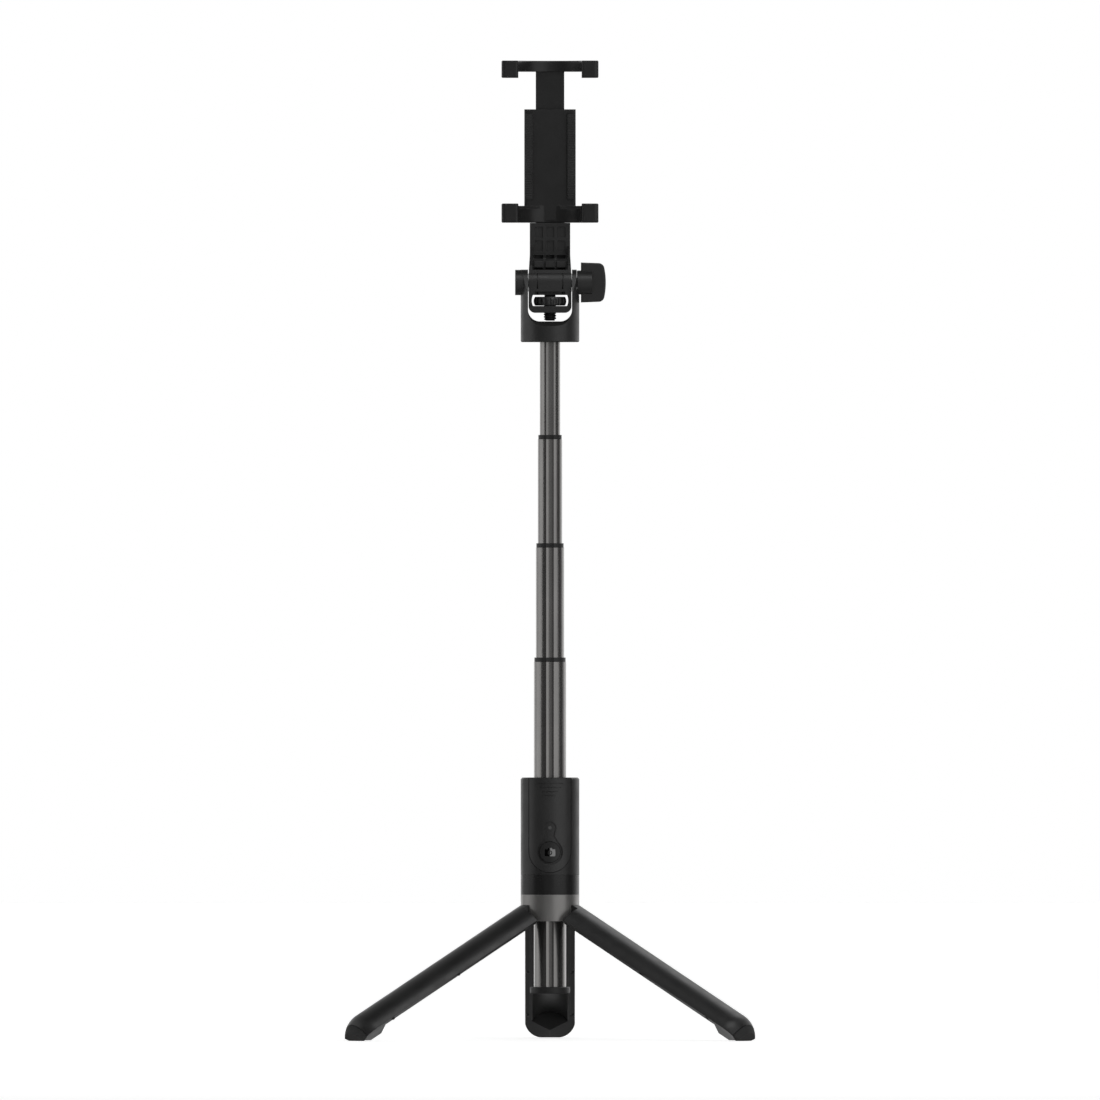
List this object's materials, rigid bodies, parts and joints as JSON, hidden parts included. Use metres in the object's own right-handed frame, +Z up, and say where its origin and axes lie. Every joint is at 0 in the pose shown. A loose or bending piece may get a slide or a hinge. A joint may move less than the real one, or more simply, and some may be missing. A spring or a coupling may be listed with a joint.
{
  "type": "tripod selfie stick",
  "caption": "Telescopic selfie stick whose handle opens into a low tripod, with a tilting sprung phone clamp, camera screw and a slide-out remote shutter.",
  "frame": {"origin": "on the mast's axis, at the height of the floor under the three feet", "axes": "+Z up the mast; +Y away from the side that the phone and the shutter button face, towards the back leg; +X to the tilt knob"},
  "size_m": [0.2068, 0.1825, 0.4945],
  "materials": {
    "mast_metal": "satin anodised, warm dark grey",
    "mast_plastic": "fine matt, black",
    "inner_plastic": "self-coloured, pale grey",
    "hub_metal": "satin, metallic dark grey",
    "handle_plastic": "fine matt, black",
    "band_plastic": "semi-gloss, black",
    "handle_core_metal": "drawn, plain",
    "steel": "plain",
    "black_steel": "black oxide",
    "leg_shell": "satin, near black",
    "leg_lining": "matt, black",
    "foot_rubber": "matt, black",
    "head_plastic": "fine matt, black",
    "clamp_plastic": "fine matt, black",
    "grip_rubber": "matt, black",
    "remote_plastic": "fine matt, black",
    "circuit_board": "green solder mask",
    "cell_steel": "plain",
    "switch_plastic": "plain",
    "light_lens": "clear, grey-blue",
    "button_plastic": "fine matt, black",
    "button_mark": "printed, light grey"
  },
  "bodies": {
    "base": {"tripod_hub": "hub_metal", "leg_1_pin": "steel", "leg_2_pin": "steel", "leg_3_pin": "steel", "handle_core": "handle_core_metal", "handle_bush_lower": "inner_plastic", "handle_bush_upper": "inner_plastic", "handle_band": "band_plastic", "handle_sleeve": "handle_plastic", "handle_screws": "steel"},
    "leg_back": {"leg_1_shell": "leg_shell", "leg_1_liner": "leg_lining", "leg_1_foot_pad": "foot_rubber"},
    "leg_left": {"leg_2_shell": "leg_shell", "leg_2_liner": "leg_lining", "leg_2_foot_pad": "foot_rubber"},
    "leg_right": {"leg_3_shell": "leg_shell", "leg_3_liner": "leg_lining", "leg_3_foot_pad": "foot_rubber"},
    "mast_1": {"mast_tube_1": "mast_metal", "mast_collar_1": "mast_plastic", "mast_plug": "mast_plastic"},
    "mast_2": {"mast_tube_2": "mast_metal", "mast_collar_2": "mast_plastic", "mast_slider_2": "inner_plastic"},
    "mast_3": {"mast_tube_3": "mast_metal", "mast_collar_3": "mast_plastic", "mast_slider_3": "inner_plastic"},
    "mast_4": {"mast_tube_4": "mast_metal", "mast_slider_4": "inner_plastic", "head_cup": "head_plastic", "hinge_bolt": "black_steel", "hinge_washers": "steel"},
    "head": {"tilt_yoke": "head_plastic", "clamp_body": "clamp_plastic", "clamp_cover": "clamp_plastic", "clamp_springs": "steel", "grip_pads_lower": "grip_rubber", "back_strips": "grip_rubber", "neck_screws": "steel"},
    "upper_jaw": {"clamp_slide": "clamp_plastic", "grip_pads_upper": "grip_rubber"},
    "tilt_knob": {"tilt_knob": "head_plastic", "knob_nut": "steel"},
    "camera_screw": {"camera_screw": "black_steel", "camera_wheel": "head_plastic"},
    "remote": {"remote_cover": "remote_plastic", "remote_base": "remote_plastic", "remote_board": "circuit_board", "remote_cell": "cell_steel", "remote_contact": "cell_steel", "remote_switch": "switch_plastic", "remote_light": "light_lens"},
    "shutter": {"shutter_button": "button_plastic", "shutter_mark": "button_mark"}
  },
  "joints": [
    {"name": "leg_back_fold", "type": "hinge", "parent": "base", "child": "leg_back", "pos_m": [0, 0.0103, 0.0662], "axis": [1, 0, 0], "range_deg": [-60, 0]},
    {"name": "leg_left_fold", "type": "hinge", "parent": "base", "child": "leg_left", "pos_m": [-0.00892, -0.00515, 0.0662], "axis": [-0.5, 0.866, 0], "range_deg": [-60, 0]},
    {"name": "leg_right_fold", "type": "hinge", "parent": "base", "child": "leg_right", "pos_m": [0.00892, -0.00515, 0.0662], "axis": [-0.5, -0.866, 0], "range_deg": [-60, 0]},
    {"name": "mast_1_slide", "type": "slide", "parent": "base", "child": "mast_1", "axis": [0, 0, 1], "range_m": [-0.0605, 0.0331]},
    {"name": "mast_2_slide", "type": "slide", "parent": "mast_1", "child": "mast_2", "axis": [0, 0, 1], "range_m": [-0.0576, 0.0848]},
    {"name": "mast_3_slide", "type": "slide", "parent": "mast_2", "child": "mast_3", "axis": [0, 0, 1], "range_m": [-0.0546, 0.0859]},
    {"name": "mast_4_slide", "type": "slide", "parent": "mast_3", "child": "mast_4", "axis": [0, 0, 1], "range_m": [-0.0468, 0.0918]},
    {"name": "head_tilt", "type": "hinge", "parent": "mast_4", "child": "head", "pos_m": [0, 0, 0.3824], "axis": [-1, 0, 0], "range_deg": [-180, 60]},
    {"name": "knob_turn", "type": "hinge", "parent": "mast_4", "child": "tilt_knob", "pos_m": [0.0176, 0, 0.3824], "axis": [1, 0, 0], "range_deg": [0, 270]},
    {"name": "camera_screw_turn", "type": "hinge", "parent": "head", "child": "camera_screw", "pos_m": [0, 0, 0.3728], "axis": [0, 0, 1], "continuous": true},
    {"name": "upper_jaw_slide", "type": "slide", "parent": "head", "child": "upper_jaw", "axis": [0, 0, 1], "range_m": [-0.012, 0.018]},
    {"name": "remote_slide", "type": "slide", "parent": "base", "child": "remote", "axis": [0, 0, 1], "range_m": [0, 0.05]},
    {"name": "shutter_press", "type": "slide", "parent": "remote", "child": "shutter", "axis": [0, 1, 0], "range_m": [0, 0.0004], "stiffness_N_per_m": 1500}
  ]
}
